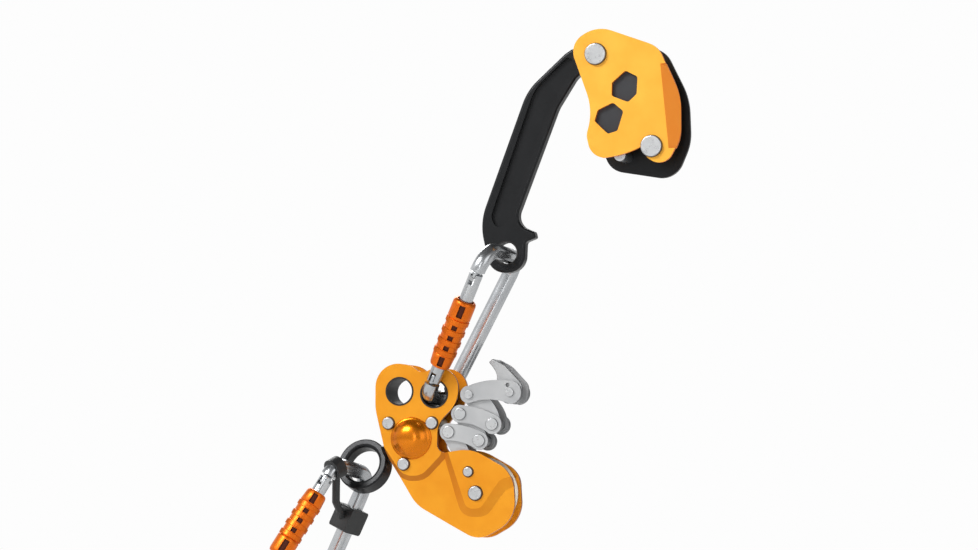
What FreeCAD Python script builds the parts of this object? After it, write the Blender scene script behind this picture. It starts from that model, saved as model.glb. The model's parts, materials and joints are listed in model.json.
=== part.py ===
"""Rope-climbing ascender set: a mechanical hitch with a folding friction chain, a swivel and a rope
sheave, linked by a locking connector to a hand-held rope brake on a lever arm.

Frame: millimetres, +Z up, +X to the right, +Y to the rear. The origin is the centre of the open
attachment eye of the hitch, halfway through its thickness. All plates are parallel to the XZ plane.
"""
import FreeCAD
import Part

import math
import os

from FreeCAD import Vector

OUT = "parts"

# Driving dimensions -------------------------------------------------------------------------------
ROPE_D = 12.0                 # rope that the set is made for
PLATE_T = 2.5                 # pressed side plates
PLATE_IN = 9.5                # inner face of a flat side plate, from the middle plane
PLATE_OUT = PLATE_IN + PLATE_T
RELIEF = 2.2                  # how far the rope channel is pressed inwards
RUN = 0.06                    # radial running clearance of a pivot

# Hitch: places of its features as (x, z)
LEFT_EYE = (0.0, 0.0)
RIGHT_EYE = (20.8, -1.6)
EYE_R = 7.5
EYE_BUSH_R = 8.4
EYE_LIP = 0.3                 # bush proud of the plates
DOME = (7.0, -27.3)
DOME_R = 12.3
DOME_RISE = 5.8
DOME_RIM_T = 0.9
BULB_R = 10.6
FRAME_RIVETS = [(-6.6, -18.5), (19.5, -18.5), (2.5, -42.3)]
RIVET_R = 2.6
RIVET_HEAD_R = 3.5
RIVET_HEAD_T = 2.0
SHEAVE = (45.5, -59.3)
SHEAVE_R = 21.0
SHEAVE_HALF = 6.8
SHEAVE_GROOVE_R = 15.5
AXLE_R = 3.6
CHAIN_ANCHOR = (41.2, -46.9)

# Friction chain: pivots from the anchor up to the lever, (x, z)
PIVOTS = {
    "l3": (29.2, -23.8),
    "r3": (47.4, -28.9),
    "l2": (36.1, -13.3),
    "r2": (55.2, -19.4),
    "l1": (41.4, -2.1),
    "r1": (65.8, -1.0),
}
LINK_PIN_R = 2.3
LINK_HEAD_R = 3.6
LINK_HEAD_T = 1.1
TOP_HEAD_R = 2.5              # smaller heads on the top link
ROLLER_R = 3.4
INNER_LINK = (7.4, 9.2)       # distance of an inner link's cheek from the middle plane
OUTER_LINK = (9.5, 11.5)

LEVER_PEEP = (64.6, 3.3)      # small hole above the lever's pivot

# Swivel
RING_CENTRE = (-24.0, -43.4)
RING_R = 15.5
RING_HOLE_R = 10.6
RING_T = 9.6
RING_TURN = 22.0              # degrees that the ring is turned about the swivel's axis
SHANK_R = 4.6

# Connectors
BAR_R = 4.5
CONNECTOR_L = 93.0            # centre line, end to end
SPINE_X = 17.5                # spine, from the middle of the small end
GATE_X = (-15.5, -38.0)       # corner on the gate side at the small end and at the large end
SMALL_R = 10.0                # bends of the small end
LARGE_R = 11.5                # bends of the large end
GATE_R = 4.0
SLEEVE_R = 7.0
SLEEVE_L = 43.0
SLEEVE_AT = 11.5              # from the gate's lower end
UPPER_LEAN = 27.6             # degrees from vertical, towards +X
UPPER_TWIST = 84.0            # degrees between the plates and the connector's plane
UPPER_SHIFT = (-1.7, 0.0, -1.8)     # from the right eye's centre to the small end of the connector
LOWER_LEAN = 24.4
LOWER_TWIST = 66.0
LOWER_SHIFT = (-5.8, -9.1, -1.7)    # from the ring's centre to the small end of the connector

# Brake, (x, z)
BRAKE_PIVOT = (117.2, 194.3)
BRAKE_LOCK = (150.2, 140.3)
BRAKE_SPACER = (130.8, 135.6)
PIN_HEAD_R = 6.3
PIN_HEAD_T = 2.2
PIVOT_PIN_R = 4.0
LOCK_PIN_R = 4.0
LOCK_NECK_R = 2.6
ARM_HALF = 4.5
ARM_BOSS_R = 8.0
ARM_EYE_R = 6.3
ARM_EYE_SHIFT = 1.1           # eye's centre above the connector's bar


# Small helpers ------------------------------------------------------------------------------------
def at(point, y=0.0):
    """The (x, z) pair as a point at depth y."""
    return Vector(point[0], y, point[1])


def unit(vector):
    """A copy of the vector with length 1."""
    copy = Vector(vector)
    copy.normalize()
    return copy


def corner_arcs(corners, y):
    """Start, middle and end of the tangent arc at each (x, z, radius) corner of a closed outline."""
    arcs = []
    count = len(corners)
    for i, (x, z, radius) in enumerate(corners):
        here = Vector(x, y, z)
        before = unit(Vector(corners[i - 1][0], y, corners[i - 1][1]) - here)
        after = unit(Vector(corners[(i + 1) % count][0], y, corners[(i + 1) % count][1]) - here)
        half = before.getAngle(after) / 2
        reach = radius / math.tan(half)
        middle = unit(before + after) * (radius / math.sin(half) - radius)
        arcs.append((here + before * reach, here + middle, here + after * reach))
    return arcs


def rounded_wire(corners, y):
    """A closed wire at depth y through (x, z, radius) corners, each rounded by a tangent arc."""
    edges = []
    arcs = corner_arcs(corners, y)
    for i, (start, middle, end) in enumerate(arcs):
        edges.append(Part.Arc(start, middle, end).toShape())
        following = arcs[(i + 1) % len(arcs)][0]
        if (following - end).Length > 1e-4:
            edges.append(Part.LineSegment(end, following).toShape())
    return Part.Wire(edges)


def slab(corners, y0, y1, holes=()):
    """A flat plate between depths y0 and y1 with round (x, z, radius) holes."""
    solid = Part.Face(rounded_wire(corners, y0)).extrude(Vector(0, y1 - y0, 0))
    for x, z, radius in holes:
        solid = solid.cut(rod((x, z), radius, y0 - 1, y1 + 1))
    return solid


def rod(point, radius, y0, y1):
    """A cylinder along Y at (x, z), between depths y0 and y1."""
    return Part.makeCylinder(radius, y1 - y0, at(point, y0), Vector(0, 1, 0))


def tube(point, outer, inner, y0, y1):
    """A round sleeve along Y."""
    return rod(point, outer, y0, y1).cut(rod(point, inner, y0 - 1, y1 + 1))


def headed(point, radius, head_r, head_t, y0, y1, soft=0.7):
    """A rivet along Y whose shank fills y0 to y1, with a domed-edge head beyond each end."""
    shank = rod(point, radius, y0, y1)
    front = soften(rod(point, head_r, y0 - head_t, y0), soft, y0 - head_t)
    rear = soften(rod(point, head_r, y1, y1 + head_t), soft, y1 + head_t)
    return shank.fuse([front, rear]).removeSplitter()


def soften(solid, radius, y):
    """Rounds the edges of the solid that lie whole at depth y."""
    edges = [e for e in solid.Edges if all(abs(v.Y - y) < 1e-3 for v in e.Vertexes)
             and abs(e.CenterOfMass.y - y) < 1e-3]
    return solid.makeFillet(radius, edges)


def mirrored(solid):
    """The solid's copy on the other side of the middle plane."""
    return solid.mirror(Vector(0, 0, 0), Vector(0, 1, 0))


def turned(local, origin, x_axis, z_axis):
    """A copy of a solid made at the origin, set down with the given local axes."""
    y_axis = z_axis.cross(x_axis)
    matrix = FreeCAD.Matrix(
        x_axis.x, y_axis.x, z_axis.x, origin.x,
        x_axis.y, y_axis.y, z_axis.y, origin.y,
        x_axis.z, y_axis.z, z_axis.z, origin.z,
        0, 0, 0, 1,
    )
    copy = local.copy()
    copy.Placement = FreeCAD.Placement(matrix)
    return copy


def save(name, *solids):
    """Writes one node, after a look at each solid."""
    flat = [s for shape in solids for s in shape.Solids]
    for solid in flat:
        if not solid.isValid() or solid.Volume <= 0:
            print("BAD SOLID", name)
    whole = flat[0] if len(flat) == 1 else Part.makeCompound(flat)
    whole.exportStep(os.path.join(OUT, name + ".step"))
    print(f"{name:24s} {len(flat)} solids {sum(s.Volume for s in flat) / 1000:8.2f} cm3")


# Hitch frame --------------------------------------------------------------------------------------
HITCH_OUTLINE = [
    (-14.4, 18.0, 13.5), (7.0, 15.2, 12.0), (13.0, 10.2, 6.0), (20.5, 13.4, 10.0), (34.5, 14.6, 12.0),
    (35.6, -6.0, 18.0), (22.9, -19.0, 13.0), (22.4, -36.4, 4.5), (43.0, -33.4, 22.0),
    (67.3, -47.0, 16.0), (69.0, -74.5, 18.0), (47.0, -87.0, 14.0), (30.0, -77.6, 40.0),
    (9.5, -66.0, 22.0), (-8.5, -36.0, 30.0), (-14.6, -10.0, 30.0),
]
# Raised areas: the head with both eyes and the bearing, and the fan round the sheave's axle. Each
# is given at its foot and at its top, which lie a pressed slope apart.
HEAD_FOOT = [
    (-24.0, -15.0, 4.0), (1.0, -52.2, 12.0), (14.5, -52.0, 12.0), (27.5, -38.5, 6.0),
    (31.0, -19.0, 3.0), (46.0, -12.0, 3.0), (46.0, 30.0, 3.0), (-24.0, 30.0, 3.0),
]
HEAD_TOP = [
    (-22.0, -13.8, 4.0), (2.2, -49.2, 10.0), (13.2, -49.0, 10.0), (24.7, -37.2, 5.0),
    (28.6, -17.4, 3.0), (44.0, -10.0, 3.0), (44.0, 28.0, 3.0), (-22.0, 28.0, 3.0),
]
FAN_FOOT = [
    (20.6, -19.0, 2.0), (36.9, -73.3, 9.0), (51.8, -72.8, 9.0), (63.2, -57.4, 6.0),
    (78.0, -52.0, 3.0), (78.0, -18.0, 5.0),
]
FAN_TOP = [
    (24.3, -21.0, 2.0), (40.2, -68.7, 5.5), (48.6, -68.0, 5.5), (60.2, -51.4, 6.0),
    (76.0, -47.0, 3.0), (76.0, -20.0, 5.0),
]


def raised(foot, top):
    """A sloped-sided raised area of the front plate, clipped to the plate's outline."""
    low, high = RELIEF - PLATE_OUT, -PLATE_OUT
    solid = Part.makeLoft([rounded_wire(foot, low), rounded_wire(top, high)], True, True)
    return solid.common(slab(HITCH_OUTLINE, high - 1, low + 1))


def hitch_plate():
    """The front side plate: raised at the head and the fan, pressed in beside the rope."""
    plate = slab(HITCH_OUTLINE, RELIEF - PLATE_OUT, RELIEF - PLATE_IN)
    for foot, top in ((HEAD_FOOT, HEAD_TOP), (FAN_FOOT, FAN_TOP)):
        plate = plate.fuse(raised(foot, top))
    for top in (HEAD_TOP, FAN_TOP):
        plate = plate.cut(slab(top, -PLATE_IN, 0))
    holes = [(*LEFT_EYE, EYE_BUSH_R), (*RIGHT_EYE, EYE_BUSH_R), (*CHAIN_ANCHOR, RIVET_R),
             (*SHEAVE, AXLE_R), (*DOME, DOME_R - 3)]
    holes += [(x, z, RIVET_R) for x, z in FRAME_RIVETS]
    for x, z, radius in holes:
        plate = plate.cut(rod((x, z), radius, -PLATE_OUT - 1, 0))
    return plate.removeSplitter()


def dome():
    """The front bearing cover: a bulb that runs out in a flat rim, with a spigot in the plate."""
    y = -PLATE_OUT
    centre = at(DOME, y - DOME_RISE + BULB_R)
    bulb = Part.makeSphere(BULB_R, centre).common(rod(DOME, DOME_R, y - DOME_RISE - 1, y))
    cap = rod(DOME, DOME_R, y - DOME_RIM_T, y).fuse(bulb).removeSplitter()
    foot = [e for e in cap.Edges if e.Curve.TypeId == "Part::GeomCircle"
            and abs(e.Curve.Center.y - (y - DOME_RIM_T)) < 1e-6 and e.Curve.Radius < DOME_R - 1]
    cap = cap.makeFillet(4.2, foot)
    cap = cap.cut(Part.makeSphere(BULB_R - 2.6, centre))
    spigot = tube(DOME, DOME_R - 3, DOME_R - 4.6, y, -PLATE_IN)
    for point in FRAME_RIVETS:
        cap = cap.cut(rod(point, RIVET_HEAD_R + 0.1, y - DOME_RISE, y + 1))
    return cap.fuse(spigot).removeSplitter()


def frame_rivets():
    """The three rivets that hold the two plates on their spacer tubes."""
    return [headed(p, RIVET_R, RIVET_HEAD_R, RIVET_HEAD_T, -PLATE_OUT, PLATE_OUT) for p in FRAME_RIVETS]


def rivet_spacers():
    """Spacer tubes round the rivets, between the plates."""
    return [tube(p, RIVET_R + 1.4, RIVET_R, -PLATE_IN, PLATE_IN) for p in FRAME_RIVETS]


def eye_bush(point):
    """A black bush through both plates, with a small lip at each end."""
    ends = PLATE_OUT + EYE_LIP
    bush = tube(point, EYE_BUSH_R, EYE_R, -ends, ends)
    waist = tube(point, EYE_BUSH_R + 1.2, EYE_BUSH_R - 0.1, -PLATE_IN, PLATE_IN)
    return bush.fuse(waist).removeSplitter()


def anchor_studs():
    """Two short studs, one in each plate, that carry the chain's first link beside the sheave."""
    stud = rod(CHAIN_ANCHOR, RIVET_R, -PLATE_OUT, -INNER_LINK[0] - 0.05)
    head = soften(rod(CHAIN_ANCHOR, RIVET_R + 0.3, -PLATE_OUT - 1.6, -PLATE_OUT), 0.7, -PLATE_OUT - 1.6)
    front = stud.fuse(head).removeSplitter()
    return [front, mirrored(front)]


def sheave():
    """The grooved rope wheel."""
    hub = AXLE_R + 4.6
    profile = [
        (hub, -SHEAVE_HALF), (SHEAVE_R, -SHEAVE_HALF), (SHEAVE_R, -SHEAVE_HALF + 0.8),
        (SHEAVE_GROOVE_R, -2.0), (SHEAVE_GROOVE_R, 2.0), (SHEAVE_R, SHEAVE_HALF - 0.8),
        (SHEAVE_R, SHEAVE_HALF), (hub, SHEAVE_HALF),
    ]
    points = [Vector(SHEAVE[0] + r, y, SHEAVE[1]) for r, y in profile]
    wire = Part.makePolygon(points + points[:1])
    return Part.Face(wire).revolve(at(SHEAVE), Vector(0, 1, 0), 360)


def sheave_bearing():
    """The ball bearing's inner ring, outer ring and shield, drawn as two rings and ball cage."""
    inner = tube(SHEAVE, AXLE_R + 1.4, AXLE_R, -SHEAVE_HALF, SHEAVE_HALF)
    cage = tube(SHEAVE, AXLE_R + 3.1, AXLE_R + 1.4, -SHEAVE_HALF + 0.4, SHEAVE_HALF - 0.4)
    return [inner, cage]


def bearing_ring():
    """The bearing's outer ring, which turns with the sheave."""
    return tube(SHEAVE, AXLE_R + 4.6, AXLE_R + 3.1 + RUN, -SHEAVE_HALF, SHEAVE_HALF)


def axle_washers():
    """Washers that keep the bearing's inner ring between the plates."""
    front = tube(SHEAVE, AXLE_R + 1.8, AXLE_R, -PLATE_IN, -SHEAVE_HALF)
    return [front, mirrored(front)]


# Swivel -------------------------------------------------------------------------------------------
def swivel_axis():
    """The swivel's turning axis, from the bearing housing out to the ring."""
    return unit(at(RING_CENTRE) - at(DOME))


def ring_axes():
    """The ring's own axes: along the shank, along its hole, and across both."""
    out = swivel_axis()
    turn = math.radians(RING_TURN)
    hole = Vector(0, 1, 0) * math.cos(turn) + out.cross(Vector(0, 1, 0)) * math.sin(turn)
    return out, hole


HOUSING_R = 12.0
HOUSING_BORE_R = 7.6
NECK_R = SHANK_R + 0.4


def swivel_housing():
    """The block between the plates that holds the swivel's bearing."""
    out = swivel_axis()
    block = rod(DOME, HOUSING_R, -PLATE_IN, PLATE_IN)
    for point in FRAME_RIVETS:
        block = block.cut(rod(point, RIVET_R + 1.5, -20, 20))
    bore = Part.makeCylinder(HOUSING_BORE_R, 14, at(DOME) - out * 6, out)
    neck = Part.makeCylinder(NECK_R, 20, at(DOME), out)
    return block.cut(bore).cut(neck)


def swivel_bearing():
    """The thrust bearing's fixed race, against the housing's end wall."""
    out = swivel_axis()
    race = Part.makeCylinder(HOUSING_BORE_R, 2.4, at(DOME) + out * 5.6, out)
    return race.cut(Part.makeCylinder(NECK_R, 6, at(DOME) + out * 4, out))


def swivel_eye():
    """The forged eye: a thick ring on a round shank."""
    out, hole = ring_axes()
    centre = at(RING_CENTRE)
    ring = Part.makeCylinder(RING_R, RING_T, centre - hole * RING_T / 2, hole)
    void = Part.makeCylinder(RING_HOLE_R, RING_T + 4, centre - hole * (RING_T / 2 + 2), hole)
    body = ring.cut(void)
    rims = [e for e in body.Edges if e.Curve.TypeId == "Part::GeomCircle"]
    body = body.makeFillet(2.0, [e for e in rims if e.Curve.Radius < RING_R - 1])
    rims = [e for e in body.Edges if e.Curve.TypeId == "Part::GeomCircle"
            and abs(e.Curve.Radius - RING_R) < 1e-6]
    body = body.makeFillet(0.9, rims)
    reach = (centre - at(DOME)).Length - RING_R + 1.6
    collar = Part.makeCone(SHANK_R + 1.6, SHANK_R, 3.2, centre - out * (RING_R - 1.0), out * -1)
    shank = Part.makeCylinder(SHANK_R, reach, at(DOME), out)
    shank_and_collar = shank.fuse(collar).cut(void)
    return body.fuse(shank_and_collar).removeSplitter()


def swivel_nut():
    """The retaining nut on the shank's inner end."""
    out = swivel_axis()
    nut = Part.makeCylinder(HOUSING_BORE_R - 0.6, 5.3, at(DOME), out)
    return nut.cut(Part.makeCylinder(SHANK_R, 9, at(DOME) - out, out))


# Friction chain -----------------------------------------------------------------------------------
def link_cheek(a, b, end_a, end_b, bow, waist, y0, y1):
    """One cheek of a link from pivot a to pivot b: bowed out on its left side, waisted on its right."""
    along = unit(at(b) - at(a))
    side = Vector(-along.z, 0, along.x)
    mid = (at(a) + at(b)) * 0.5
    width = (end_a + end_b) / 2
    top_a, top_b = at(a) + side * end_a, at(b) + side * end_b
    low_a, low_b = at(a) - side * end_a, at(b) - side * end_b
    edges = [
        Part.Arc(low_a, at(a) - along * end_a, top_a),
        Part.Arc(top_a, mid + side * (width + bow), top_b),
        Part.Arc(top_b, at(b) + along * end_b, low_b),
        Part.Arc(low_b, mid - side * (width - waist), low_a),
    ]
    wire = Part.Wire([e.toShape() for e in edges])
    wire.translate(Vector(0, y0, 0))
    return Part.Face(wire).extrude(Vector(0, y1 - y0, 0))


def link(a, b, ends, sides, depth, holes):
    """Both cheeks of a link, with one (point, radius) hole for each pivot."""
    cheek = link_cheek(a, b, ends[0], ends[1], sides[0], sides[1], -depth[1], -depth[0])
    for point, radius in holes:
        cheek = cheek.cut(rod(point, radius, -depth[1] - 1, -depth[0] + 1))
    return [cheek, mirrored(cheek)]


def outer_link(left, right, ends, bow):
    """A link whose cheeks carry both of its pins."""
    a, b = PIVOTS[left], PIVOTS[right]
    return link(a, b, ends, (bow, bow + 0.8), OUTER_LINK, [(a, LINK_PIN_R), (b, LINK_PIN_R)])


def inner_link(a, b, loose_a, loose_b, ends, bow):
    """A link that turns on its neighbours' pins."""
    return link(a, b, ends, (bow, 0.6), INNER_LINK, [(a, loose_a), (b, loose_b)])


def link_pin(name):
    """A riveted pin through both cheeks of an outer link."""
    head_r = TOP_HEAD_R if name in ("l1", "r1") else LINK_HEAD_R
    soft = 0.15 if name in ("l1", "r1") else 0.5
    return headed(PIVOTS[name], LINK_PIN_R, head_r, LINK_HEAD_T, -OUTER_LINK[1], OUTER_LINK[1], soft)


def link_roller(name):
    """The roller on a pin, which bears on the rope."""
    return tube(PIVOTS[name], ROLLER_R, LINK_PIN_R, -INNER_LINK[0] + 0.2, INNER_LINK[0] - 0.2)


LEVER_OUTLINE = [
    (52.8, 16.6, 0.7), (55.2, 18.6, 1.4), (62.8, 14.4, 12.0), (73.0, 3.4, 6.0), (71.6, -7.4, 5.5),
    (61.6, -7.6, 5.0), (57.0, 2.0, 4.0), (58.0, 9.6, 8.0), (55.0, 14.0, 1.0),
]
LEVER_LIP = [(52.8, 16.6, 0.6), (55.2, 18.6, 0.9), (58.4, 16.8, 0.9), (55.2, 14.2, 0.9)]


def release_lever():
    """The lever on the top link: two cheeks joined by a thumb lip across the rope's path."""
    loose = LINK_PIN_R + RUN
    cheek = slab(LEVER_OUTLINE, -INNER_LINK[1], -INNER_LINK[0], [(*PIVOTS["r1"], loose)])
    cheek = soften(cheek, 0.5, -INNER_LINK[1])
    lip = slab(LEVER_LIP, -INNER_LINK[1] + 0.3, INNER_LINK[1] - 0.3)
    return cheek.fuse([mirrored(cheek), lip]).removeSplitter()


# Connectors ---------------------------------------------------------------------------------------
LOOP = [
    (GATE_X[0], 0.0, SMALL_R), (SPINE_X, 0.0, SMALL_R),
    (SPINE_X, CONNECTOR_L, LARGE_R), (GATE_X[1], CONNECTOR_L, LARGE_R),
]
HINGE_AT = 3.0                # gate hinge, above the small end's bend


def gate_line():
    """Both ends of the straight gate side, from the small end's bend to the large end's."""
    arcs = corner_arcs(LOOP, 0)
    return arcs[0][0], arcs[3][2]


def connector_body():
    """The pear-shaped bar, from the gate's hinge round both flat ends to the nose."""
    low, high = gate_line()
    along = unit(high - low)
    edges = []
    arcs = corner_arcs(LOOP, 0)
    for i, (start, middle, end) in enumerate(arcs):
        edges.append(Part.Arc(start, middle, end))
        if i < 3:
            edges.append(Part.LineSegment(end, arcs[i + 1][0]))
    path = Part.Wire([e.toShape() for e in edges])
    circle = Part.Wire([Part.Circle(low, along, BAR_R).toShape()])
    bar = path.makePipeShell([circle], True, False)
    if bar.Volume < 0:
        bar = bar.reversed()
    lug = blade(low - along * 0.5, along, 6.5, 3.3, 1.5)
    nose = blade(high + along * 0.5, along * -1, 4.7, 3.3, 1.5)
    lug = lug.cut(hinge_rod(1.1))
    return bar.fuse([lug, nose]).removeSplitter()


def blade(start, along, length, half_width, half_thick):
    """A flat tongue in the connector's plane."""
    across = Vector(0, 1, 0).cross(along)
    corner = start - across * half_width - Vector(0, half_thick, 0)
    face = Part.makePolygon([
        corner, corner + across * 2 * half_width,
        corner + across * 2 * half_width + Vector(0, 2 * half_thick, 0),
        corner + Vector(0, 2 * half_thick, 0), corner,
    ])
    return Part.Face(face).extrude(along * length)


def hinge_point():
    """The gate's hinge axis, in the connector's own frame."""
    low, high = gate_line()
    return low + unit(high - low) * HINGE_AT


def hinge_rod(radius, half=8.0):
    """A rod along the hinge's axis."""
    return Part.makeCylinder(radius, 2 * half, hinge_point() - Vector(0, half, 0), Vector(0, 1, 0))


def connector_gate():
    """The round gate with a forked end at the hinge and one at the nose."""
    low, high = gate_line()
    along = unit(high - low)
    length = (high - low).Length
    start, end = 1.6, length - 1.6
    bar = Part.makeCylinder(GATE_R, end - start, low + along * start, along)
    for place, reach in ((start - 1, 6.8), (end - 6.6, 8.0)):
        slot = blade(low + along * place, along, reach, GATE_R + 2, 1.65)
        bar = bar.cut(slot)
    return bar.cut(hinge_rod(1.1 + RUN))


def gate_rivet():
    """The rivet that the gate turns on."""
    return hinge_rod(1.1, GATE_R - 0.1)


def sleeve_span():
    """Start and direction of the locking sleeve on the gate."""
    low, high = gate_line()
    along = unit(high - low)
    return low + along * SLEEVE_AT, along


def locking_sleeve():
    """The locking sleeve: five plain bands parted by knurled grooves."""
    start, along = sleeve_span()
    sleeve = Part.makeCylinder(SLEEVE_R, SLEEVE_L, start, along)
    groove_gap = SLEEVE_L / 5
    for i in range(1, 5):
        place = start + along * (groove_gap * i - 1.5)
        groove = Part.makeCylinder(SLEEVE_R + 1, 3.0, place, along)
        groove = groove.cut(Part.makeCylinder(SLEEVE_R - 0.7, 5, place - along, along))
        sleeve = sleeve.cut(groove)
    return sleeve.cut(Part.makeCylinder(GATE_R + 0.9, SLEEVE_L + 4, start - along * 2, along))


def sleeve_bush():
    """The bearing bush between the gate and the sleeve."""
    start, along = sleeve_span()
    bush = Part.makeCylinder(GATE_R + 0.84, SLEEVE_L - 6, start + along * 3, along)
    return bush.cut(Part.makeCylinder(GATE_R, SLEEVE_L, start, along))


def connector_axes(lean, twist, down):
    """Local X (gate to spine) and Z (small end to large end) of a connector."""
    a = math.radians(lean)
    long_axis = Vector(math.sin(a), 0, math.cos(a))
    across = Vector(math.cos(a), 0, -math.sin(a))
    if down:
        long_axis = long_axis * -1
    t = math.radians(twist)
    return across * math.cos(t) + Vector(0, 1, 0) * math.sin(t), long_axis


def upper_seat():
    """Place of the upper connector's small end, in the hitch's right eye."""
    return at(RIGHT_EYE) + Vector(*UPPER_SHIFT)


def lower_seat():
    """Place of the lower connector's small end, in the swivel's ring."""
    return at(RING_CENTRE) + Vector(*LOWER_SHIFT)


def connector(prefix, seat, axes):
    """Writes one connector's pieces, set in place."""
    x_axis, z_axis = axes
    pieces = {
        "body": connector_body(), "gate": connector_gate(), "gate_rivet": gate_rivet(),
        "sleeve": locking_sleeve(), "sleeve_bush": sleeve_bush(),
    }
    for name, piece in pieces.items():
        save(prefix + "_" + name, turned(piece, seat, x_axis, z_axis))


BLOCK = (-8.5, 6.5, 6.5, 21.5, 36.0)      # block on the spine: left, right, half depth, low, high
KNEE = (-1.0, 21.0)                       # where the arm of the positioning bar bends


def positioning_bar():
    """The moulded bar that keeps the ring at the connector's small end."""
    left, right, half, low_end, high_end = BLOCK
    block = Part.makeBox(right - left, 2 * half, high_end - low_end,
                         Vector(SPINE_X + left, -half, low_end))
    block = block.makeFillet(1.6, [e for e in block.Edges if abs(e.tangentAt(0).y) > 0.9])
    start, middle, end = corner_arcs(LOOP, 0)[0]
    along = unit(end - start)
    collar = Part.makeCylinder(BAR_R + 1.9, 6.5, middle - along * 3.25, along)
    inward = unit((start + end) * 0.5 - middle)
    root = middle + inward * (BAR_R + 1.2)
    knee = at(KNEE)
    foot = Vector(SPINE_X + left + 2, 0, (low_end + high_end) / 2)
    web = Part.makeCylinder(2.3, (knee - root).Length, root, knee - root)
    strut = Part.makeCylinder(2.3, (foot - knee).Length, knee, foot - knee)
    whole = collar.fuse([block, web, strut, Part.makeSphere(2.3, knee)])
    return whole.cut(bar_clear()).cut(gate_clear()).removeSplitter()


def bar_clear():
    """The connector's bar, a little grown, as a cutter."""
    grip = BAR_R + 0.02
    arcs = corner_arcs(LOOP, 0)
    edges = [Part.Arc(*arcs[0]), Part.LineSegment(arcs[0][2], arcs[1][0]), Part.Arc(*arcs[1]),
             Part.LineSegment(arcs[1][2], arcs[2][0])]
    path = Part.Wire([e.toShape() for e in edges])
    low, high = gate_line()
    circle = Part.Wire([Part.Circle(low, unit(high - low), grip).toShape()])
    return path.makePipeShell([circle], True, False)


def gate_clear():
    """Room for the gate's end beside the positioning bar's collar."""
    low, high = gate_line()
    along = unit(high - low)
    return Part.makeCylinder(GATE_R + 0.5, 30, low + along * 1.3, along)


# Brake --------------------------------------------------------------------------------------------
BRAKE_OUTLINE = [
    (101.6, 200.4, 11.0), (117.8, 210.9, 19.0), (154.3, 197.9, 14.0), (166.2, 169.4, 40.0),
    (166.4, 143.4, 30.0), (157.6, 127.0, 8.5), (147.8, 133.6, 1.6), (143.2, 139.6, 1.0),
    (128.8, 132.0, 22.0), (114.2, 136.0, 10.0), (111.6, 147.4, 10.0), (115.6, 161.4, 34.0),
]
REAR_OUTLINE = [
    (102.3, 200.4, 11.0), (117.8, 209.4, 18.0), (154.3, 196.4, 14.0), (167.8, 169.4, 40.0),
    (168.8, 143.4, 30.0), (159.6, 121.8, 13.0), (121.8, 128.0, 12.0), (112.8, 147.4, 10.0), (116.6, 161.4, 34.0),
]
UPPER_POST = [(134.8, 184.4, 2.0), (142.0, 180.6, 1.8), (141.4, 170.6, 2.0), (136.4, 166.0, 1.8),
              (126.6, 169.8, 1.8), (126.8, 177.4, 2.2)]
LOWER_POST = [(127.4, 166.0, 2.0), (133.6, 160.8, 2.0), (130.1, 149.6, 2.0), (124.4, 147.8, 1.8),
              (116.4, 155.4, 1.8), (118.4, 161.8, 2.2)]
POST_GROW = 1.8


def grown(corners, by):
    """The outline with each corner moved out from the middle by a length."""
    cx = sum(c[0] for c in corners) / len(corners)
    cz = sum(c[1] for c in corners) / len(corners)
    out = []
    for x, z, radius in corners:
        reach = math.hypot(x - cx, z - cz)
        scale = (reach + by) / reach
        out.append((cx + (x - cx) * scale, cz + (z - cz) * scale, radius))
    return out


def window(corners):
    """A cutter for a post's window in the front plate."""
    return slab(corners, -PLATE_OUT - 1, -PLATE_IN + 1)


LIP_LINE = [(155.4, 188.0), (160.2, 139.0)]     # where the front plate's edge is pressed back
LIP_BACK = 4.5
LIP_SLOPE = 0.75               # depth gained for each millimetre outwards
LIP_REACH = 14.0


def lip_wedge(y):
    """Everything beyond the lip's line between depth y and the slope that starts there."""
    (x0, z0), (x1, z1) = LIP_LINE
    start = Vector(x0, y, z0)
    front = Vector(x0 + LIP_REACH, y, z0)
    back = Vector(x0 + LIP_REACH, y + LIP_REACH * LIP_SLOPE, z0)
    face = Part.Face(Part.makePolygon([start, back, front, start]))
    return face.extrude(Vector(x1 - x0, 0, z1 - z0))


def brake_front_plate():
    """The brake's opening side plate: it turns on the pivot pin and hooks on the lock pin."""
    plate = slab(BRAKE_OUTLINE, -PLATE_OUT, -PLATE_IN, [(*BRAKE_PIVOT, PIVOT_PIN_R + RUN)])
    lip = slab(BRAKE_OUTLINE, -PLATE_IN, -PLATE_IN + LIP_BACK).common(lip_wedge(-PLATE_IN))
    plate = plate.fuse(lip).cut(lip_wedge(-PLATE_OUT))
    for corners in (UPPER_POST, LOWER_POST):
        plate = plate.cut(window(corners))
    return plate.cut(lock_slot()).removeSplitter()


def lock_slot():
    """The hook's slot: round at the lock pin and open along the plate's own swing."""
    reach = (at(BRAKE_LOCK) - at(BRAKE_PIVOT)).Length
    half = LOCK_NECK_R + 0.25
    track = tube(BRAKE_PIVOT, reach + half, reach - half, -PLATE_OUT - 1, 0)
    left = Part.makeBox(2 * reach, 40, 2 * reach, at(BRAKE_LOCK, -20) - Vector(2 * reach, 0, reach))
    return track.common(left).fuse(rod(BRAKE_LOCK, half, -PLATE_OUT - 1, 0))


def brake_rear_plate():
    """The brake's fixed side plate, which carries the posts and the pins."""
    holes = [(*BRAKE_PIVOT, PIVOT_PIN_R), (*BRAKE_LOCK, LOCK_PIN_R), (*BRAKE_SPACER, 2.0)]
    plate = slab(REAR_OUTLINE, PLATE_IN, PLATE_OUT + 1.5, holes)
    return soften(plate, 1.2, PLATE_OUT + 1.5)


def brake_post(corners):
    """A friction post on the rear plate; its end shows through the front plate's window."""
    body = slab(grown(corners, POST_GROW), -PLATE_IN + 0.1, PLATE_IN)
    return soften(body, 0.5, -PLATE_IN + 0.1)


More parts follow.
